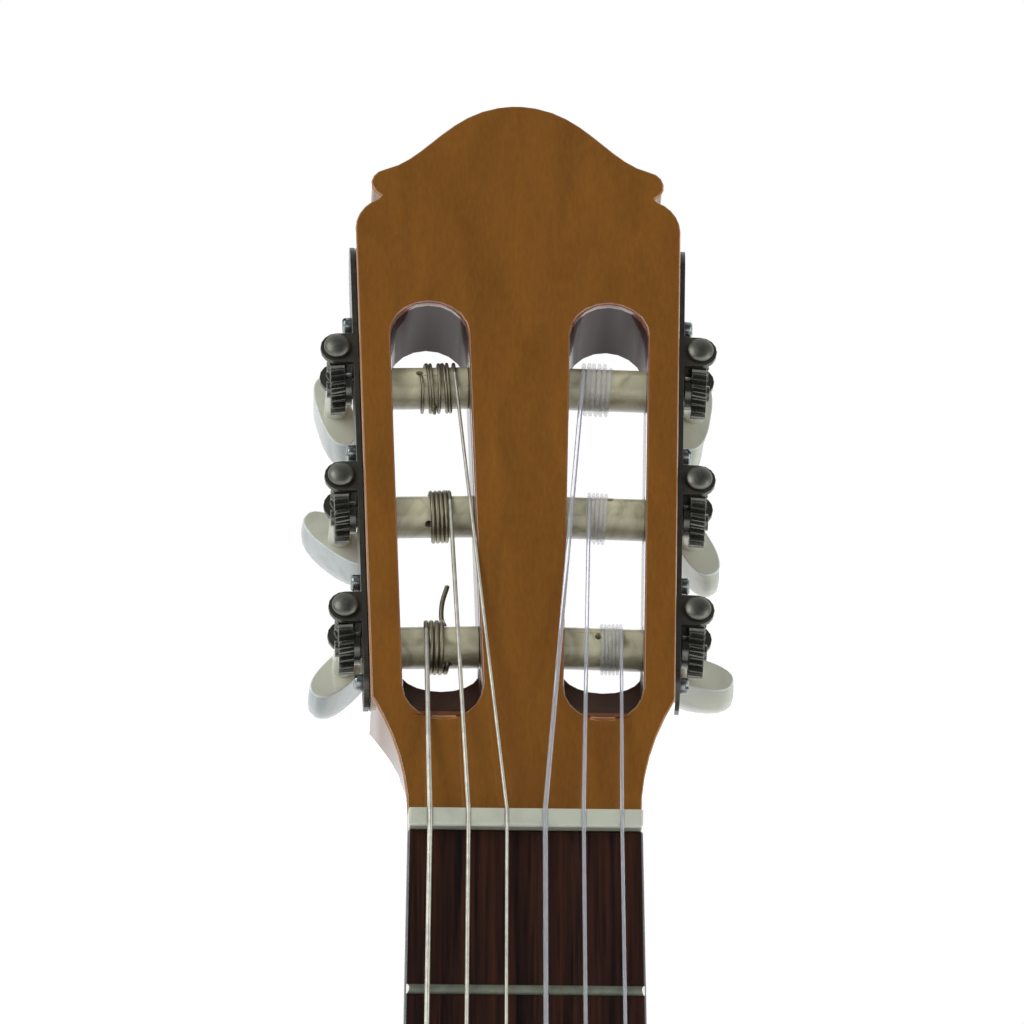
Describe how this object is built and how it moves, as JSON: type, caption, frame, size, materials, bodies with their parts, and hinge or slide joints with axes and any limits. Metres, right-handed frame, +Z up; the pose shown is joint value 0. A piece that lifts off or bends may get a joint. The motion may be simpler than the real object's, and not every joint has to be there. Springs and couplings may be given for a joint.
{
  "type": "classical guitar",
  "caption": "Nylon-string classical guitar with a slotted head, geared tuning machines, fingerboard with frets, and a hollow fan-braced body.",
  "frame": {"origin": "on the centre line where the nut meets the fingerboard, in the plane in which the fingerboard is glued to the neck", "axes": "+Z up the neck to the head, -Y the side of the strings, +X the treble side"},
  "size_m": [0.368, 0.1136, 1.0031],
  "materials": {
    "lacquered_wood": "glossy amber-brown lacquer",
    "spruce": "glossy clear lacquer outside, bare inside",
    "rosewood": "satin, oiled",
    "bare_cedar": "bare",
    "ivory_plastic": "polished",
    "black_nickel": "satin black nickel plate",
    "dark_steel": "polished dark nickel",
    "cream_plastic": "marbled",
    "pearl_plastic": "pearl marbling",
    "wound_string": "silver-plated wire winding",
    "nylon_string": "clear nylon"
  },
  "bodies": {
    "guitar": {"neck": "lacquered_wood", "fingerboard": "rosewood", "nut": "ivory_plastic", "soundboard": "spruce", "rosette": "rosewood", "back": "lacquered_wood", "side_bass": "lacquered_wood", "side_treble": "lacquered_wood", "neck_block": "bare_cedar", "tail_block": "bare_cedar", "heel_cap": "rosewood", "top_lining_bass": "bare_cedar", "top_lining_treble": "bare_cedar", "back_lining_bass": "bare_cedar", "back_lining_treble": "bare_cedar", "upper_top_bar": "spruce", "lower_top_bar": "spruce", "fan_brace_1": "spruce", "fan_brace_2": "spruce", "fan_brace_3": "spruce", "fan_brace_4": "spruce", "fan_brace_5": "spruce", "back_bar_1": "bare_cedar", "back_bar_2": "bare_cedar", "back_bar_3": "bare_cedar", "bridge": "rosewood", "saddle": "ivory_plastic", "tuner_plate_bass": "black_nickel", "tuner_plate_treble": "black_nickel", "string_1": "nylon_string", "string_2": "nylon_string", "string_3": "nylon_string", "string_4": "wound_string", "string_5": "wound_string", "string_6": "wound_string"},
    "worm_6": {"worm_6": "dark_steel", "button_6": "pearl_plastic"},
    "roller_6": {"roller_6": "cream_plastic", "gear_6": "black_nickel"},
    "worm_5": {"worm_5": "dark_steel", "button_5": "pearl_plastic"},
    "roller_5": {"roller_5": "cream_plastic", "gear_5": "black_nickel"},
    "worm_4": {"worm_4": "dark_steel", "button_4": "pearl_plastic"},
    "roller_4": {"roller_4": "cream_plastic", "gear_4": "black_nickel"},
    "worm_1": {"worm_1": "dark_steel", "button_1": "pearl_plastic"},
    "roller_1": {"roller_1": "cream_plastic", "gear_1": "black_nickel"},
    "worm_2": {"worm_2": "dark_steel", "button_2": "pearl_plastic"},
    "roller_2": {"roller_2": "cream_plastic", "gear_2": "black_nickel"},
    "worm_3": {"worm_3": "dark_steel", "button_3": "pearl_plastic"},
    "roller_3": {"roller_3": "cream_plastic", "gear_3": "black_nickel"}
  },
  "joints": [
    {"name": "tuner_6_button", "type": "hinge", "parent": "guitar", "child": "worm_6", "pos_m": [-0.03963, 0.02489, 0.0573], "axis": [0, 0.9659, -0.2588], "continuous": true},
    {"name": "tuner_6_roller", "type": "hinge", "parent": "guitar", "child": "roller_6", "pos_m": [-0.03943, 0.02305, 0.05045], "axis": [-0.9996, -0.0071, -0.0266], "continuous": true, "deforming": ["string_6"]},
    {"name": "tuner_5_button", "type": "hinge", "parent": "guitar", "child": "worm_5", "pos_m": [-0.04059, 0.03394, 0.09111], "axis": [0, 0.9659, -0.2588], "continuous": true},
    {"name": "tuner_5_roller", "type": "hinge", "parent": "guitar", "child": "roller_5", "pos_m": [-0.0404, 0.03211, 0.08426], "axis": [-0.9996, -0.0071, -0.0266], "continuous": true, "deforming": ["string_5"]},
    {"name": "tuner_4_button", "type": "hinge", "parent": "guitar", "child": "worm_4", "pos_m": [-0.04156, 0.043, 0.12492], "axis": [0, 0.9659, -0.2588], "continuous": true},
    {"name": "tuner_4_roller", "type": "hinge", "parent": "guitar", "child": "roller_4", "pos_m": [-0.04136, 0.04117, 0.11806], "axis": [-0.9996, -0.0071, -0.0266], "continuous": true, "deforming": ["string_4"]},
    {"name": "tuner_1_button", "type": "hinge", "parent": "guitar", "child": "worm_1", "pos_m": [0.03963, 0.02489, 0.0573], "axis": [0, 0.9659, -0.2588], "continuous": true},
    {"name": "tuner_1_roller", "type": "hinge", "parent": "guitar", "child": "roller_1", "pos_m": [0.03943, 0.02305, 0.05045], "axis": [0.9996, -0.0071, -0.0266], "continuous": true, "deforming": ["string_1"]},
    {"name": "tuner_2_button", "type": "hinge", "parent": "guitar", "child": "worm_2", "pos_m": [0.04059, 0.03394, 0.09111], "axis": [0, 0.9659, -0.2588], "continuous": true},
    {"name": "tuner_2_roller", "type": "hinge", "parent": "guitar", "child": "roller_2", "pos_m": [0.0404, 0.03211, 0.08426], "axis": [0.9996, -0.0071, -0.0266], "continuous": true, "deforming": ["string_2"]},
    {"name": "tuner_3_button", "type": "hinge", "parent": "guitar", "child": "worm_3", "pos_m": [0.04156, 0.043, 0.12492], "axis": [0, 0.9659, -0.2588], "continuous": true},
    {"name": "tuner_3_roller", "type": "hinge", "parent": "guitar", "child": "roller_3", "pos_m": [0.04136, 0.04117, 0.11806], "axis": [0.9996, -0.0071, -0.0266], "continuous": true, "deforming": ["string_3"]}
  ],
  "couplings": [
    {"joint": "tuner_6_roller", "follows": "tuner_6_button", "ratio": 0.055556},
    {"joint": "tuner_5_roller", "follows": "tuner_5_button", "ratio": 0.055556},
    {"joint": "tuner_4_roller", "follows": "tuner_4_button", "ratio": 0.055556},
    {"joint": "tuner_1_roller", "follows": "tuner_1_button", "ratio": 0.055556},
    {"joint": "tuner_2_roller", "follows": "tuner_2_button", "ratio": 0.055556},
    {"joint": "tuner_3_roller", "follows": "tuner_3_button", "ratio": 0.055556}
  ]
}
